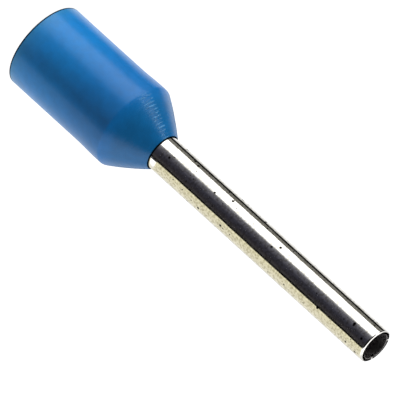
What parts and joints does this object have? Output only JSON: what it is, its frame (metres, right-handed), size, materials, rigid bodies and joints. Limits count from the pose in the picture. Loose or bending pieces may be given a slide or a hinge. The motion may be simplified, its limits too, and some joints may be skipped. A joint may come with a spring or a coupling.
{
  "type": "wire ferrule",
  "caption": "Insulated wire ferrule: tin-plated copper sleeve with a blue moulded collar that funnels the strands in.",
  "frame": {"origin": "centre of the collar's mouth rim, on the surface that the ferrule stands on", "axes": "+Z along the ferrule's axis, from the collar's mouth to the sleeve's tip"},
  "size_m": [0.0032, 0.0032, 0.0163],
  "materials": {
    "blue_polypropylene": "moulded, semi-gloss",
    "tin_plated_copper": "bright tin plate, drawn tube"
  },
  "bodies": {
    "root": {"insulating_collar": "blue_polypropylene", "tinned_sleeve": "tin_plated_copper"}
  },
  "joints": []
}
